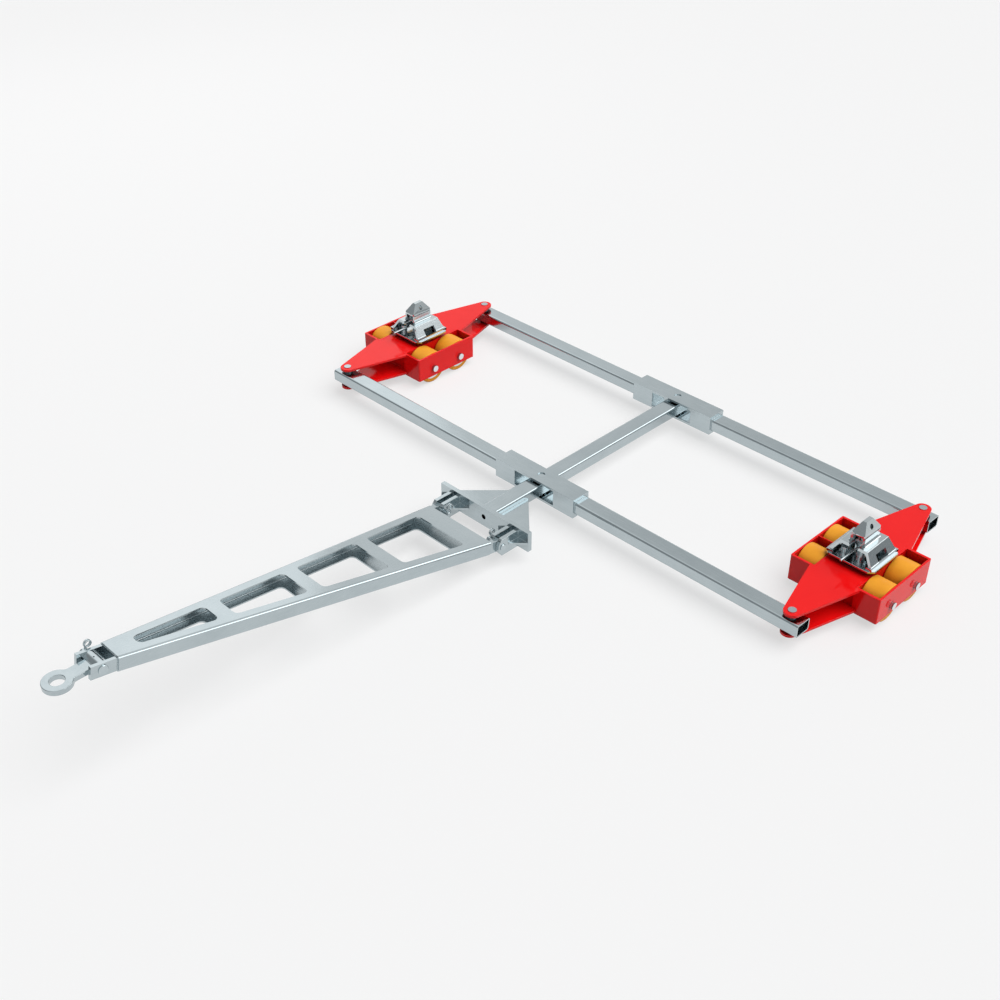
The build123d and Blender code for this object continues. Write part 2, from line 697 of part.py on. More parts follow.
# Drawbar and towing eye
drawbar_place = Pos(0, clevis_y, clevis_z) * Rot(-drawbar_pitch, 0, 0)
upper_shell, lower_shell = drawbar_shells()
save("drawbar_upper_shell", drawbar_place * upper_shell)
save("drawbar_lower_shell", drawbar_place * lower_shell)
save("drawbar_ears", *[drawbar_place * drawbar_ear(side) for side in (-1, 1)])
save("drawbar_fork", drawbar_place * drawbar_fork())
eye_place = drawbar_place * Pos(0, -eye_pin_reach, 0)
eye_grip = (-fork_width / 2, fork_width / 2)
save("eye_pin", eye_place * headed_pin(eye_pin_diameter, eye_head_diameter, eye_head_height, eye_grip))
save("eye_pin_clip", eye_place * Pos(eye_grip[0] - pin_tail / 2, 0, 0) * spring_clip(eye_pin_diameter))
save("tow_eye", Pos(0, eye_y, eye_z) * tow_eye())

# Skates with their rollers and container locks
axle_rows = (("front", -roller_spacing / 2), ("rear", roller_spacing / 2))
cassette_sides = (("inner", -1), ("outer", 1))
for name, side in (("left", -1), ("right", 1)):
    place = Pos(side * skate_x, 0, 0)
    king_hole = post(king_pin_diameter / 2 + running_fit, plates_high, plate_top)
    save(f"{name}_top_plate", place * (skate_plate_at(plates_high) - king_hole))
    save(f"{name}_bottom_plate", place * skate_plate_at(plate_bottom))
    save(f"{name}_bulkheads", *[place * plate for plate in bulkheads()])
    save(f"{name}_cassettes", *[place * cassette(x_side) for x_side in (-1, 1)])
    save(f"{name}_axles", *[place * axle(x_side, y) for _, x_side in cassette_sides for _, y in axle_rows])
    save(f"{name}_link_pins", *[place * piece for y in (-pivot_y, pivot_y) for piece in link_pin(y)])
    save(f"{name}_turntable", *[place * piece for piece in turntable()])
    save(f"{name}_lock_base", *[place * piece for piece in lock_base()])
    save(f"{name}_lock_housing", place * lock_housing())
    save(f"{name}_twist_head", place * twist_head())
    save(f"{name}_lock_lever", place * lock_lever())
    for row, y in axle_rows:
        for position, x_side in cassette_sides:
            hub = place * Pos(side * x_side * roller_x, y, axle_z)
            save(f"{name}_{row}_{position}_tread", hub * roller_tread())
            save(f"{name}_{row}_{position}_core", *[hub * piece for piece in roller_core()])
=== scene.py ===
"""Looks of the container moving skate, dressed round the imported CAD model."""

from math import acos, atan2, copysign, cos, degrees, radians, sin, tau

import bmesh
import bpy
from mathutils import Matrix, Vector


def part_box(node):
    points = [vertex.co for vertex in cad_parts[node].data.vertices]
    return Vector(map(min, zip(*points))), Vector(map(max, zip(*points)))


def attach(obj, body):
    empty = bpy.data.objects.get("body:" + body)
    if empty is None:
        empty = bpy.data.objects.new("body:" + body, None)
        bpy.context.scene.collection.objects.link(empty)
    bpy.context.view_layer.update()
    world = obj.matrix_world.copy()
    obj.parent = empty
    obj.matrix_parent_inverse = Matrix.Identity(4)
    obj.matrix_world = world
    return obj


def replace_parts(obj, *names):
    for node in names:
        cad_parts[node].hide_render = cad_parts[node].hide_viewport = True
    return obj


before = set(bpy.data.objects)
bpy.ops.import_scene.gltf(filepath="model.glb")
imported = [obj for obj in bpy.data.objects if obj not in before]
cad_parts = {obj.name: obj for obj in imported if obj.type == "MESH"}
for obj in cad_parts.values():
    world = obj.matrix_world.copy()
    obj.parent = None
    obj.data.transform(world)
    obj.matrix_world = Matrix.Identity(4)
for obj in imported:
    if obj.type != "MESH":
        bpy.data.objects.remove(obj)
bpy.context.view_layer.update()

# The studio is a plain pale floor under an even sky, lit by a broad lamp above and a wide one at the left.
# A long lamp at the right and darker places in the sky show only in reflections, where they draw bright
# bands along the bends of the plated tubes and give the metal its contrast. The broad lamp isn't mirrored.
pale = (0.913, 0.913, 0.913, 1.0)
sky_light = (0.24, 0.245, 0.25, 1.0)
sky_shade = (0.20, 0.215, 0.225, 1.0)
floor_grey = (0.50, 0.50, 0.50, 1.0)
floor_half = 40.0
floor_glow = 0.66
scene = bpy.context.scene
scene.view_settings.view_transform = "Standard"

camera = bpy.data.objects.new("camera", bpy.data.cameras.new("camera"))
camera.location = (2.8720, -2.5099, 2.9934)
camera.rotation_euler = (radians(54.736), 0.0, radians(45.0))
camera.data.lens = 48.977
camera.data.sensor_width = 36.0
camera.data.clip_end = 200.0
scene.collection.objects.link(camera)
scene.camera = camera


def add_node(tree, kind, inputs, **settings):
    """A node with its settings, whose inputs are numbers, colours or outputs of other nodes."""
    new = tree.nodes.new(kind)
    for name, value in settings.items():
        setattr(new, name, value)
    for name, value in inputs.items():
        if isinstance(value, bpy.types.NodeSocket):
            tree.links.new(value, new.inputs[name])
        else:
            new.inputs[name].default_value = value
    return new


def seen_directly(tree):
    """One for rays from the camera and from mirrors and glass, nought for the light on the object."""
    rays = add_node(tree, "ShaderNodeLightPath", {}).outputs
    seen = add_node(tree, "ShaderNodeMath",
                    {0: rays["Is Camera Ray"], 1: rays["Is Glossy Ray"]}, operation="MAXIMUM")
    return add_node(tree, "ShaderNodeMath",
                    {0: seen.outputs[0], 1: rays["Is Transmission Ray"]}, operation="MAXIMUM").outputs[0]


floor_mesh = bpy.data.meshes.new("floor")
corners = [(x * floor_half, y * floor_half, 0.0) for x, y in ((-1, -1), (1, -1), (1, 1), (-1, 1))]
floor_mesh.from_pydata(corners, [], [(0, 1, 2, 3)])
floor = bpy.data.objects.new("floor", floor_mesh)
scene.collection.objects.link(floor)
floor_paint = bpy.data.materials.new("floor_paint")
floor_paint.use_nodes = True
tree = floor_paint.node_tree
tree.nodes.clear()
seen = seen_directly(tree)
colour = add_node(tree, "ShaderNodeMix", {"Factor": seen, "A": floor_grey, "B": pale}, data_type="RGBA")
matt = add_node(tree, "ShaderNodeBsdfDiffuse", {"Color": colour.outputs["Result"]})
glow = add_node(tree, "ShaderNodeEmission", {"Color": pale})
share = add_node(tree, "ShaderNodeMath", {0: seen, 1: floor_glow}, operation="MULTIPLY")
mixed = add_node(tree, "ShaderNodeMixShader", {0: share.outputs[0], 1: matt.outputs[0], 2: glow.outputs[0]})
add_node(tree, "ShaderNodeOutputMaterial", {"Surface": mixed.outputs[0]})
floor_mesh.materials.append(floor_paint)

world = bpy.data.worlds.new("studio")
world.use_nodes = True
tree = world.node_tree
tree.nodes.clear()
way = add_node(tree, "ShaderNodeTexCoord", {}).outputs["Generated"]
shade = 0.0
for middle, start, full, depth in (
    ((-0.58, -0.58, 0.57), 0.70, 0.92, 0.78),
    ((0.70, 0.70, 0.05), 0.92, 0.99, 0.85),
    ((-0.38, 0.68, 0.63), 0.97, 0.999, 0.33),
):
    near = add_node(tree, "ShaderNodeVectorMath", {0: way, 1: middle}, operation="DOT_PRODUCT")
    place = add_node(tree, "ShaderNodeMapRange", {
        "Value": near.outputs["Value"], "From Min": start, "From Max": full, "To Max": depth},
        interpolation_type="SMOOTHSTEP")
    shade = add_node(tree, "ShaderNodeMath",
                     {0: shade, 1: place.outputs[0]}, operation="MAXIMUM").outputs[0]
glossy = add_node(tree, "ShaderNodeLightPath", {}).outputs["Is Glossy Ray"]
shade = add_node(tree, "ShaderNodeMath", {0: shade, 1: glossy}, operation="MULTIPLY").outputs[0]
mirrored = add_node(tree, "ShaderNodeMix", {"Factor": shade, "A": pale, "B": sky_shade}, data_type="RGBA")
lit_sky = add_node(tree, "ShaderNodeBackground", {"Color": sky_light})
pale_sky = add_node(tree, "ShaderNodeBackground", {"Color": mirrored.outputs["Result"]})
sky = add_node(tree, "ShaderNodeMixShader",
               {0: seen_directly(tree), 1: lit_sky.outputs[0], 2: pale_sky.outputs[0]})
add_node(tree, "ShaderNodeOutputWorld", {"Surface": sky.outputs[0]})
scene.world = world

sun = bpy.data.objects.new("broad_lamp", bpy.data.lights.new("broad_lamp", "SUN"))
sun.data.energy = 2.7
sun.data.angle = radians(60.0)
sun.rotation_euler = (radians(-12.0), radians(28.0), 0.0)
sun.visible_glossy = False
scene.collection.objects.link(sun)
for name, size, energy, location, turn, gives_light in (
    ("long_lamp", (10.0, 3.0), 168.0, (5.2, 3.7, 5.0), (-52.0, 0.0, -42.0), False),
    ("wide_lamp", (4.5, 4.5), 25.0, (-4.9, 1.8, 3.5), (0.0, -55.0, -20.0), True),
):
    lamp = bpy.data.objects.new(name, bpy.data.lights.new(name, "AREA"))
    lamp.data.shape = "RECTANGLE"
    lamp.data.size, lamp.data.size_y = size
    lamp.data.energy = energy
    lamp.location = location
    lamp.rotation_euler = [radians(angle) for angle in turn]
    lamp.visible_camera = False
    lamp.visible_diffuse = gives_light
    scene.collection.objects.link(lamp)


# The centre bar is a rectangular steel tube with a cross plate, gussets and clevis lugs welded to
# its front end and two pivot bushes through it. The finished weldment is bright zinc plated, so
# its cut edges are a little rounded and its rolled faces show faint lines along their length.
def new_finish(name, even_values):
    """A material with the values that are even all over, its node tree and the places on its piece."""
    material = bpy.data.materials.new(name)
    material.use_nodes = True
    tree = material.node_tree
    for socket, value in even_values.items():
        tree.nodes["Principled BSDF"].inputs[socket].default_value = value
    return material, tree, add_node(tree, "ShaderNodeTexCoord", {}).outputs["Object"]


def join_finish(tree, tone, gloss, relief):
    """Leads a finish's tone, gloss and relief to its shader."""
    shader = tree.nodes["Principled BSDF"]
    tree.links.new(tone, shader.inputs["Base Color"])
    tree.links.new(gloss, shader.inputs["Roughness"])
    tree.links.new(relief.outputs[0], shader.inputs["Normal"])


def two_tones(tree, factor, low, high):
    """A colour that runs from one tone to another with a factor."""
    ramp = add_node(tree, "ShaderNodeValToRGB", {"Fac": factor})
    for element, (place, colour) in zip(ramp.color_ramp.elements, (low, high)):
        element.position, element.color = place, (*colour, 1.0)
    return ramp.outputs["Color"]


def zinc_plate(name, grain, dark, light):
    """Bright zinc on steel: cloudy tone, and faint lines along the direction it was rolled or turned."""
    material, tree, place = new_finish(name, {"Metallic": 1.0})
    along = add_node(tree, "ShaderNodeMapping", {"Vector": place, "Scale": grain}).outputs[0]
    cloud = add_node(tree, "ShaderNodeTexNoise",
                     {"Vector": place, "Scale": 9.0, "Detail": 4.0, "Roughness": 0.6}).outputs[0]
    lines = add_node(tree, "ShaderNodeTexNoise",
                     {"Vector": along, "Scale": 14.0, "Detail": 3.0, "Roughness": 0.55}).outputs[0]
    both = add_node(tree, "ShaderNodeMath", {0: cloud, 1: lines}, operation="ADD").outputs[0]
    spread = {"Value": both, "From Min": 0.7, "From Max": 1.3}
    factor = add_node(tree, "ShaderNodeMapRange", spread).outputs[0]
    tone = two_tones(tree, factor, (0.0, dark), (1.0, light))
    gloss = add_node(tree, "ShaderNodeMapRange", {**spread, "To Min": 0.10, "To Max": 0.17}).outputs[0]
    skin = add_node(tree, "ShaderNodeTexNoise", {"Vector": along, "Scale": 60.0, "Detail": 2.0}).outputs[0]
    relief = add_node(tree, "ShaderNodeBump", {"Height": skin, "Strength": 0.04, "Distance": 0.0004})
    join_finish(tree, tone, gloss, relief)
    return material


merge_gap = 0.00002
flat_within = radians(1.0)
sharp_from = radians(40.0)


def new_piece(name, solid, *finishes):
    """A piece of the scene made from a built solid, with its finishes."""
    mesh = bpy.data.meshes.new(name)
    solid.to_mesh(mesh)
    solid.free()
    for finish in finishes:
        mesh.materials.append(finish)
    piece = bpy.data.objects.new(name, mesh)
    scene.collection.objects.link(piece)
    return piece


def round_edges(piece, width):
    """Rounds off the sharp edges of a piece, and keeps its flats flat."""
    piece.data.shade_smooth()
    edge = piece.modifiers.new("edge", "BEVEL")
    edge.width = width
    edge.segments = 2
    edge.limit_method = "ANGLE"
    edge.angle_limit = sharp_from
    flats = piece.modifiers.new("flats", "WEIGHTED_NORMAL")
    flats.weight = 100


def broken_edges(node, body, width, finish):
    """A copy of a node with its sharp edges rounded off, which stands for the plain solid."""
    solid = bmesh.new()
    solid.from_mesh(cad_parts[node].data)
    bmesh.ops.remove_doubles(solid, verts=solid.verts, dist=merge_gap)
    bmesh.ops.dissolve_limit(solid, angle_limit=flat_within, verts=solid.verts, edges=solid.edges)
    piece = new_piece(f"{node}_finished", solid, finish)
    round_edges(piece, width)
    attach(piece, body)
    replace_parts(piece, node)


def finish_node(node, finish):
    """A node's mesh, which keeps its shape and takes a finish."""
    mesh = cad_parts[node].data
    mesh.materials.clear()
    mesh.materials.append(finish)
    return mesh


zinc_dark, zinc_light = (0.430, 0.492, 0.515), (0.490, 0.552, 0.574)
zinc_along_x = zinc_plate("zinc_along_x", (1.0, 30.0, 30.0), zinc_dark, zinc_light)
zinc_along_y = zinc_plate("zinc_along_y", (30.0, 1.0, 30.0), zinc_dark, zinc_light)
plate_edge = 0.0012
finish_node("centre_bar", zinc_along_y)
finish_node("pivot_bushes", zinc_along_y)
for node in ("cross_plate", "gusset_plates"):
    broken_edges(node, "frame", plate_edge, zinc_along_x)
broken_edges("clevis_lugs", "frame", plate_edge, zinc_along_y)


# Fillet welds join the plates, lugs and bar of the frame. They are laid by hand before the plating,
# with one ripple for each step of the torch, and keep short of the plates' corners.
def round_section():
    """Geometry nodes that lay a round section along a path, swelling once in each pitch."""
    tree = bpy.data.node_groups.new("round_section", "GeometryNodeTree")
    sockets = {"Path": "Geometry", "Radius": "Float", "Ripple": "Float", "Pitch": "Float", "Step": "Float"}
    for name, kind in {**sockets, "Finish": "Material"}.items():
        tree.interface.new_socket(name, in_out="INPUT", socket_type=f"NodeSocket{kind}")
    tree.interface.new_socket("Mesh", in_out="OUTPUT", socket_type="NodeSocketGeometry")
    given = add_node(tree, "NodeGroupInput", {}).outputs
    curve = add_node(tree, "GeometryNodeMeshToCurve", {"Mesh": given["Path"]}).outputs[0]
    even = add_node(tree, "GeometryNodeResampleCurve",
                    {"Curve": curve, "Length": given["Step"]}, mode="LENGTH").outputs[0]
    reach = add_node(tree, "GeometryNodeSplineParameter", {}).outputs["Length"]
    count = add_node(tree, "ShaderNodeMath", {0: reach, 1: given["Pitch"]}, operation="DIVIDE").outputs[0]
    turn = add_node(tree, "ShaderNodeMath", {0: count, 1: tau}, operation="MULTIPLY").outputs[0]
    wave = add_node(tree, "ShaderNodeMath", {0: turn}, operation="SINE").outputs[0]
    swell = add_node(tree, "ShaderNodeMath",
                     {0: wave, 1: given["Ripple"], 2: 1.0}, operation="MULTIPLY_ADD")
    ring = add_node(tree, "GeometryNodeCurvePrimitiveCircle", {"Resolution": 8, "Radius": given["Radius"]})
    laid = add_node(tree, "GeometryNodeCurveToMesh", {
        "Curve": even, "Profile Curve": ring.outputs[0], "Scale": swell.outputs[0], "Fill Caps": True})
    smooth = add_node(tree, "GeometryNodeSetShadeSmooth", {"Geometry": laid.outputs[0]}).outputs[0]
    real = add_node(tree, "GeometryNodeRealizeInstances", {"Geometry": smooth}).outputs[0]
    done = add_node(tree, "GeometryNodeSetMaterial", {"Geometry": real, "Material": given["Finish"]})
    add_node(tree, "NodeGroupOutput", {"Mesh": done.outputs[0]})
    return tree


section_tree = round_section()


def laid_round(name, runs, body, sizes):
    """A piece on a body, with the round section of the given sizes laid along each run of points."""
    points, edges = [], []
    for run in runs:
        edges += [(number, number + 1) for number in range(len(points), len(points) + len(run) - 1)]
        points += run
    path = bpy.data.meshes.new(f"{name}_path")
    path.from_pydata(points, edges, [])
    maker = bpy.data.objects.new(f"{name}_path", path)
    scene.collection.objects.link(maker)
    section = maker.modifiers.new("section", "NODES")
    section.node_group = section_tree
    for socket in section_tree.interface.items_tree:
        if socket.name in sizes:
            section[socket.identifier] = sizes[socket.name]
    shape = maker.evaluated_get(bpy.context.evaluated_depsgraph_get())
    piece = bpy.data.objects.new(name, bpy.data.meshes.new_from_object(shape))
    bpy.data.objects.remove(maker)
    scene.collection.objects.link(piece)
    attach(piece, body)
    return piece


arc_step = 8.0


def arc(middle, radius, start, turn):
    """Points along an arc, at most one arc step apart in degrees."""
    steps = round(abs(turn) / arc_step) + 1
    angles = [radians(start + turn * step / steps) for step in range(steps + 1)]
    return [(middle.x + radius * cos(angle), middle.y + radius * sin(angle)) for angle in angles]


def tube_outline(width, height, corner):
    """Points round the outline of a rectangular tube, from the arc of one corner to the next."""
    points = []
    for quarter in range(4):
        across, up = cos(radians(90 * quarter + 45)), sin(radians(90 * quarter + 45))
        middle = Vector((copysign(width / 2 - corner, across), copysign(height / 2 - corner, up)))
        points += arc(middle, corner, 90.0 * quarter, 90.0)
    return points + points[:1]


bead_radius = 0.0016
bead_pitch = 0.0028
bead_ripple = 0.06
bead_sizes = {"Radius": bead_radius, "Ripple": bead_ripple, "Pitch": bead_pitch, "Step": bead_pitch / 4}
zinc_bead = {**bead_sizes, "Finish": zinc_along_x}
tube_corner = 0.009
gusset_thickness = 0.008
lug_thickness = 0.015
lug_gap = 0.020
bar_low, bar_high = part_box("centre_bar")
plate_low, plate_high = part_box("cross_plate")
gusset_low, gusset_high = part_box("gusset_plates")
lug_low, lug_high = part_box("clevis_lugs")
bar_middle = (bar_low.z + bar_high.z) / 2
bar_outline = tube_outline(bar_high.x - bar_low.x, bar_high.z - bar_low.z, tube_corner)
frame_runs = [[(x, plate_high.y, bar_middle + z) for x, z in bar_outline]]
bar_leg = gusset_high.y - plate_high.y - 2 * bead_radius
lug_leg = plate_low.y - gusset_low.y - 2 * bead_radius
lug_faces = [lug_high.x - across for across in (0.0, lug_thickness, lug_thickness + lug_gap)]
lug_faces.append(lug_faces[-1] - lug_thickness)
for side in (-1, 1):
    x = side * bar_high.x
    for z in (gusset_high.z, gusset_high.z - gusset_thickness):
        frame_runs.append([(x + side * bar_leg, plate_high.y, z), (x, plate_high.y, z)])
        frame_runs.append([(x, plate_high.y, z), (x, plate_high.y + bar_leg, z)])
    for face in lug_faces:
        frame_runs.append([(side * face, plate_low.y, z) for z in (lug_low.z, lug_high.z)])
    for face, out in ((lug_faces[0], side), (lug_faces[-1], -side)):
        x = side * face
        for z in (gusset_low.z, gusset_low.z + gusset_thickness):
            frame_runs.append([(x + out * lug_leg, plate_low.y, z), (x, plate_low.y, z)])
            frame_runs.append([(x, plate_low.y, z), (x, plate_low.y - lug_leg, z)])
laid_round("frame_welds", frame_runs, "frame", zinc_bead)

# Each clevis pin is a turned and plated steel pin with a thin head. A bent spring wire clip
# passes through its drilled tail and hugs it, so that the drawbar can be taken off by hand.
turned_zinc = zinc_plate("turned_zinc", (1.0, 8.0, 8.0), (0.455, 0.520, 0.545), (0.515, 0.580, 0.602))
finish_node("clevis_pins", turned_zinc)
clip_wire = 0.0045
clip_leg = 0.022
coil_radius = 0.011
coil_rise = 0.0265
coil_width = 0.009
waist_radius = 0.006
hug_radius = 0.01255
hug_end = -60.0
flare_radius = 0.008
flare_turn = 50.0
wire_step = 0.001


def hairpin(place, towards):
    """Points along a clip's wire: a leg through the pin, a coil above it and a leg round the pin."""
    coil = Vector((coil_radius, coil_rise))
    to_pin, to_coil = hug_radius + waist_radius, coil_radius + waist_radius
    lean = acos((to_pin**2 + coil.length**2 - to_coil**2) / (2 * to_pin * coil.length))
    waist_turn = atan2(coil.y, coil.x) - lean
    waist = to_pin * Vector((cos(waist_turn), sin(waist_turn)))
    coil_end = degrees(atan2(waist.y - coil.y, waist.x - coil.x))
    pin_start, flare_start = degrees(waist_turn), radians(hug_end)
    flare = (hug_radius + flare_radius) * Vector((cos(flare_start), sin(flare_start)))
    wound = arc(coil, coil_radius, 180.0, coil_end - 180.0 - 360.0)
    shares = [step / (len(wound) - 1) for step in range(len(wound))]
    run = [(0.0, 0.0, -clip_leg)]
    run += [(coil_width * share**2 * (3 - 2 * share), y, z) for share, (y, z) in zip(shares, wound)]
    sprung = arc(waist, waist_radius, coil_end + 180.0, pin_start - coil_end)
    sprung += arc(Vector((0.0, 0.0)), hug_radius, pin_start, hug_end - pin_start)[1:]
    sprung += arc(flare, flare_radius, hug_end + 180.0, flare_turn)[1:]
    run += [(coil_width, y, z) for y, z in sprung[1:]]
    return [place @ Vector((towards * x, y, z)) for x, y, z in run]


wire_sizes = {"Radius": clip_wire / 2, "Ripple": 0.0, "Pitch": clip_wire, "Step": wire_step,
              "Finish": turned_zinc}
clip_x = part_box("clevis_clips")[1].x - clip_wire / 2
pin_middle = sum(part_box("clevis_pins"), Vector()) / 2
clip_places = [Matrix.Translation(pin_middle + Vector((x, 0.0, 0.0))) for x in (-clip_x, clip_x)]
clips = [hairpin(place, towards) for place, towards in zip(clip_places, (1, -1))]
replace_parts(laid_round("clevis_clip_wires", clips, "frame", wire_sizes), "clevis_clips")


# Each cross beam is two rectangular tubes pushed into a machined box sleeve, which turns on the
# centre bar about a vertical pin, and welded all round. A steel bush stands in each tube end, its
# near-black colour painted shade for the dark gap there.
def machined_steel(name, dark, light, smooth, dull):
    """Machined steel with the last traces of the machining."""
    material, tree, place = new_finish(name, {"Metallic": 1.0})
    along = add_node(tree, "ShaderNodeMapping", {"Vector": place, "Scale": (60.0, 4.0, 60.0)}).outputs[0]
    trace = add_node(tree, "ShaderNodeTexNoise", {"Vector": along, "Scale": 12.0, "Detail": 3.0}).outputs[0]
    tone = two_tones(tree, trace, (0.3, dark), (0.7, light))
    gloss = add_node(tree, "ShaderNodeMapRange", {
        "Value": trace, "From Min": 0.3, "From Max": 0.7, "To Min": smooth, "To Max": dull}).outputs[0]
    relief = add_node(tree, "ShaderNodeBump", {"Height": trace, "Strength": 0.03, "Distance": 0.0003})
    join_finish(tree, tone, gloss, relief)
    return material


# Near-black steel: the turntables' own finish, and painted shade on the tube-end bushes and axle-end rims.
oiled_steel_and_painted_shade = machined_steel("oiled_steel_and_painted_shade", (0.06, 0.07, 0.075), (0.10, 0.11, 0.115), 0.25, 0.35)
for beam in ("front", "rear"):
    broken_edges(f"{beam}_sleeve", f"{beam}_beam", plate_edge, zinc_along_x)
    finish_node(f"{beam}_tubes", zinc_along_x)
    # Painted shade: the bushes take near-black steel so the tube ends read as dark gaps.
    finish_node(f"{beam}_end_bushes", oiled_steel_and_painted_shade)
    finish_node(f"{beam}_pivot_pin", turned_zinc)
    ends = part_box(f"{beam}_sleeve")
    middle = (ends[0] + ends[1]) / 2
    runs = [[(end.x, middle.y + y, middle.z + z) for y, z in bar_outline] for end in ends]
    laid_round(f"{beam}_beam_welds", runs, f"{beam}_beam", zinc_bead)

# The drawbar is two folded sheet shells welded edge to edge with four cut-outs through them, duller
# inside, with a rougher zinc whose darker tone is painted shade. Thick ears are welded into its rear
# corners, and a forged fork into its front end.
# Rougher zinc for the shells' inside faces, with a darker tone that is painted shade.
rough_zinc_painted_shade = machined_steel("rough_zinc_painted_shade", (0.40, 0.455, 0.475), (0.46, 0.515, 0.535), 0.24, 0.34)
drawbar_rise = 11.0
inside_margin = 0.001
shell_front = 1.456
fork_width = 0.088
fork_height = 0.044
drawbar_pitch = Matrix.Rotation(radians(-drawbar_rise), 4, "X")
drawbar_place = Matrix.Translation(pin_middle) @ drawbar_pitch
to_drawbar = drawbar_place.inverted()
# Inside faces take the rougher zinc whose darker tone is painted shade.
for shell in ("upper", "lower"):
    mesh = finish_node(f"drawbar_{shell}_shell", zinc_along_y)
    mesh.materials.append(rough_zinc_painted_shade)
    for polygon in mesh.polygons:
        place = to_drawbar @ polygon.center
        faces = to_drawbar.to_3x3() @ polygon.normal
        outwards = place.x * faces.x + place.z * faces.z
        polygon.material_index = int(outwards < -inside_margin)
for node in ("drawbar_ears", "drawbar_fork"):
    broken_edges(node, "drawbar", plate_edge, zinc_along_y)
fork_outline = tube_outline(fork_width, fork_height, bead_radius / 2)
fork_run = [drawbar_place @ Vector((x, -shell_front, z)) for x, z in fork_outline]
laid_round("drawbar_welds", [fork_run], "drawbar", zinc_bead)

# The towing eye is a plated forging that tips on a headed pin in the fork.
# The pin is kept by a spring clip like the ones on the clevis pins.
forged_zinc = zinc_plate("forged_zinc", (5.0, 5.0, 5.0), (0.415, 0.475, 0.498), (0.475, 0.535, 0.556))
finish_node("tow_eye", forged_zinc)
finish_node("eye_pin", turned_zinc)
eye_middle = sum(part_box("eye_pin"), Vector()) / 2
eye_middle.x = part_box("eye_pin_clip")[0].x + clip_wire / 2
eye_clip = [hairpin(Matrix.Translation(eye_middle) @ drawbar_pitch, -1)]
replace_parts(laid_round("eye_pin_clip_wire", eye_clip, "drawbar", wire_sizes), "eye_pin_clip")


# Each skate is a weldment of laser-cut plates and two open cassettes round the rollers,
# sprayed with a thick gloss red paint that rounds its edges and shows a slight orange peel.
def painted_corner_shade(tree, colour, depth, reach):
    """Painted shade: the colour made darker in corners and narrow gaps, where ambient occlusion finds
    little open sky.
    """
    open_sky = add_node(tree, "ShaderNodeAmbientOcclusion", {"Distance": reach}, samples=8).outputs["AO"]
    shade_share = add_node(tree, "ShaderNodeMapRange", {
        "Value": open_sky, "From Min": 0.2, "From Max": 0.8, "To Min": depth}).outputs[0]
    return add_node(tree, "ShaderNodeMix", {
        "Factor": 1.0, "A": colour, "B": shade_share}, data_type="RGBA", blend_type="MULTIPLY").outputs["Result"]


def gloss_paint(name, dark, light):
    """Thick sprayed gloss paint."""
    material, tree, place = new_finish(name, {"Specular IOR Level": 0.22})
    cloud = add_node(tree, "ShaderNodeTexNoise", {"Vector": place, "Scale": 7.0, "Detail": 3.0}).outputs[0]
    clouded = two_tones(tree, cloud, (0.3, dark), (0.7, light))
    # Painted shade: the paint's colour is darkened in corners and narrow gaps.
    tone = painted_corner_shade(tree, clouded, depth=0.45, reach=0.08)
    gloss = add_node(tree, "ShaderNodeMapRange", {
        "Value": cloud, "From Min": 0.3, "From Max": 0.7, "To Min": 0.1, "To Max": 0.15}).outputs[0]
    peel = add_node(tree, "ShaderNodeTexNoise", {"Vector": place, "Scale": 420.0, "Detail": 1.0}).outputs[0]
    relief = add_node(tree, "ShaderNodeBump", {"Height": peel, "Strength": 0.06, "Distance": 0.0003})
    join_finish(tree, tone, gloss, relief)
    return material


red_paint = gloss_paint("red_paint", (0.88, 0.005, 0.006), (0.93, 0.008, 0.008))
red_bead = {**bead_sizes, "Finish": red_paint}
for side in ("left", "right"):
    for plates in ("top_plate", "bottom_plate", "bulkheads", "cassettes"):
        broken_edges(f"{side}_{plates}", f"{side}_skate", plate_edge, red_paint)
    low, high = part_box(f"{side}_bulkheads")
    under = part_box(f"{side}_bottom_plate")[0].z
    around = [(low.x, low.z), (high.x, low.z), (high.x, high.z), (low.x, high.z), (low.x, low.z)]
    runs = [[(x, y, z) for x, z in around] for y in (low.y, high.y)]
    runs += [[(x, y, under) for y in (low.y, high.y)] for x in (low.x, high.x)]
    laid_round(f"{side}_skate_welds", runs, f"{side}_skate", red_bead)

# The axles and link pins are turned steel, plated, with chamfered ends. The axles are pressed into
# the cassette walls, out of which their faced ends stand, and the link pins have their heads on top.
axle_steel = machined_steel("axle_steel", (0.72, 0.75, 0.76), (0.80, 0.83, 0.84), 0.15, 0.25)
axle_proud = 0.0025
axle_seat = 0.001
axle_head = 0.0015
axle_facets = 40
for side in ("left", "right"):
    for node in ("axles", "link_pins"):
        finish_node(f"{side}_{node}", turned_zinc)
    low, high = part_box(f"{side}_axles")
    radius = (high.z - low.z) / 2
    solid = bmesh.new()
    for x, out in ((low.x, -1), (high.x, 1)):
        for y in (low.y + radius, high.y - radius):
            middle = Vector((x + out * (axle_proud - axle_seat) / 2, y, low.z + radius))
            place = Matrix.Translation(middle) @ Matrix.Rotation(radians(90.0), 4, "Y")
            bmesh.ops.create_cone(solid, cap_ends=True, segments=axle_facets, depth=axle_proud + axle_seat,
                                  radius1=radius + axle_head, radius2=radius + axle_head, matrix=place)
    piece = new_piece(f"{side}_axle_ends", solid, axle_steel, oiled_steel_and_painted_shade)
    # Painted shade: the rims of the standing axle ends take near-black steel, while their faces stay
    # bright.
    for polygon in piece.data.polygons:
        on_rim = abs(polygon.normal.x) < 0.5
        polygon.material_index = int(on_rim)
    round_edges(piece, plate_edge)
    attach(piece, f"{side}_skate")


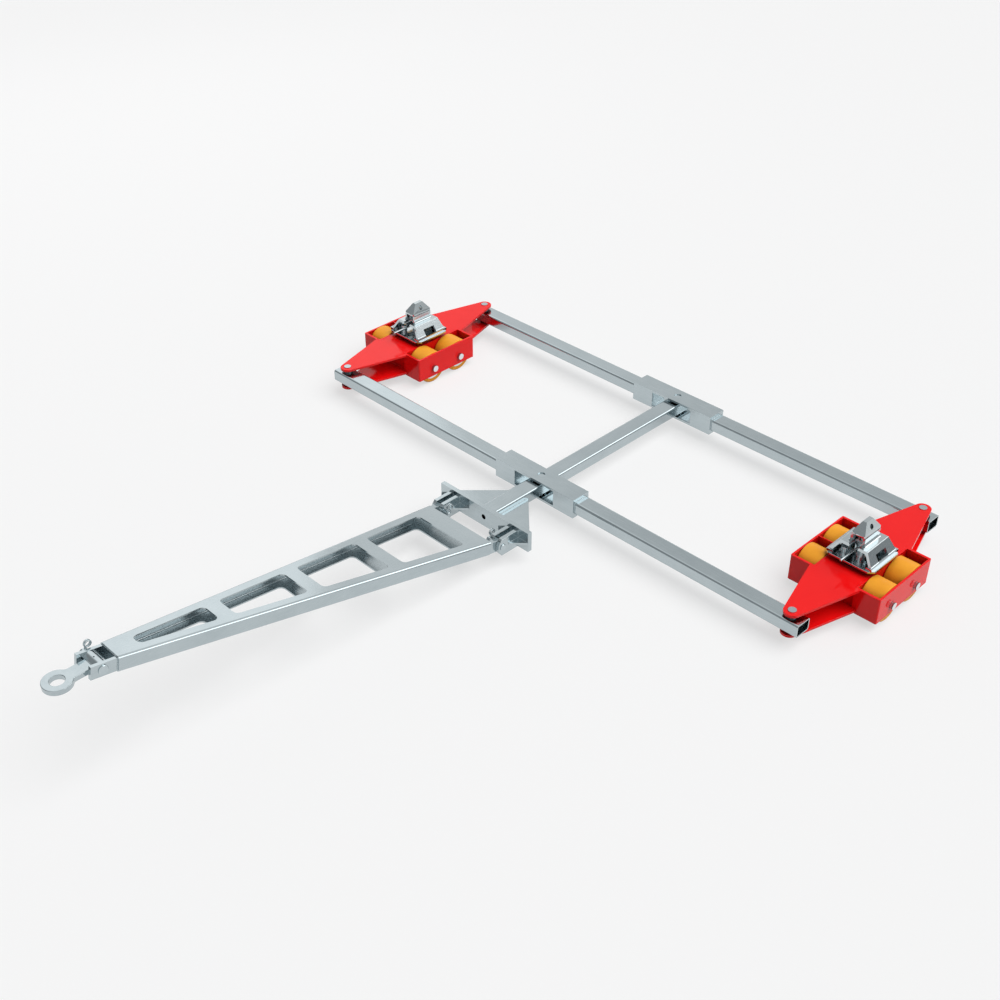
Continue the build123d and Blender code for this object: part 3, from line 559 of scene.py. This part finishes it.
# Each roller is a poured polyurethane tread on a steel core with a ball bearing in each end.
# The tread is a warm amber with the faint clouding of the poured resin, and laps over the core's sides.
def poured_tread(name, dark, light):
    """Poured polyurethane, clouded and slightly rough."""
    material, tree, place = new_finish(name, {"Specular IOR Level": 0.25})
    cloud = add_node(tree, "ShaderNodeTexNoise", {"Vector": place, "Scale": 26.0, "Detail": 4.0}).outputs[0]
    clouded = two_tones(tree, cloud, (0.3, dark), (0.7, light))
    # Painted shade: the tread's colour is darkened in corners and narrow gaps.
    tone = painted_corner_shade(tree, clouded, depth=0.45, reach=0.05)
    gloss = add_node(tree, "ShaderNodeMapRange", {
        "Value": cloud, "From Min": 0.3, "From Max": 0.7, "To Min": 0.38, "To Max": 0.5}).outputs[0]
    grain = add_node(tree, "ShaderNodeTexNoise",
                     {"Vector": place, "Scale": 300.0, "Detail": 2.0}).outputs[0]
    relief = add_node(tree, "ShaderNodeBump", {"Height": grain, "Strength": 0.08, "Distance": 0.0004})
    join_finish(tree, tone, gloss, relief)
    return material


tread = poured_tread("poured_tread", (0.90, 0.360, 0.024), (0.95, 0.405, 0.032))
core_zinc = zinc_plate("core_zinc", (8.0, 8.0, 8.0), (0.62, 0.67, 0.69), (0.70, 0.75, 0.77))
lap_inner_radius = 0.053
lap_outer_radius = 0.067
lap_proud = 0.0006
lap_facets = 64


def tread_laps(roller):
    """The thin rings of tread that lap over the two sides of a roller's core."""
    low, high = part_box(f"{roller}_tread")
    middle = (low + high) / 2
    solid = bmesh.new()
    for side_x, out in ((low.x, -1), (high.x, 1)):
        back, front = side_x - out * lap_proud, side_x + out * lap_proud
        outline = [(back, lap_inner_radius), (front, lap_inner_radius),
                   (front, lap_outer_radius), (back, lap_outer_radius)]
        corners = [solid.verts.new((x, middle.y, middle.z + radius)) for x, radius in outline]
        sides = [solid.edges.new((corners[corner - 1], corners[corner])) for corner in range(4)]
        bmesh.ops.spin(solid, geom=corners + sides, cent=middle, axis=(1.0, 0.0, 0.0), angle=tau,
                       steps=lap_facets)
    bmesh.ops.remove_doubles(solid, verts=solid.verts, dist=merge_gap)
    bmesh.ops.recalc_face_normals(solid, faces=solid.faces)
    piece = new_piece(f"{roller}_laps", solid, tread)
    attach(piece, f"{roller}_roller")


for side in ("left", "right"):
    for row in ("front", "rear"):
        for position in ("inner", "outer"):
            finish_node(f"{side}_{row}_{position}_tread", tread)
            finish_node(f"{side}_{row}_{position}_core", core_zinc)
            tread_laps(f"{side}_{row}_{position}")


# Each container lock is a machined and polished hood on a base plate. It stands on a dark
# turntable, and its pointed head turns with a round lever that is screwed into its hub.
polish = machined_steel("polish", (0.50, 0.555, 0.575), (0.58, 0.63, 0.645), 0.11, 0.17)
lock_edge = 0.0015
for side in ("left", "right"):
    finish_node(f"{side}_turntable", oiled_steel_and_painted_shade)
    for node, body in (("lock_housing", "lock"), ("lock_base", "lock"), ("twist_head", "twist")):
        broken_edges(f"{side}_{node}", f"{side}_{body}", lock_edge, polish)
    finish_node(f"{side}_lock_lever", polish)
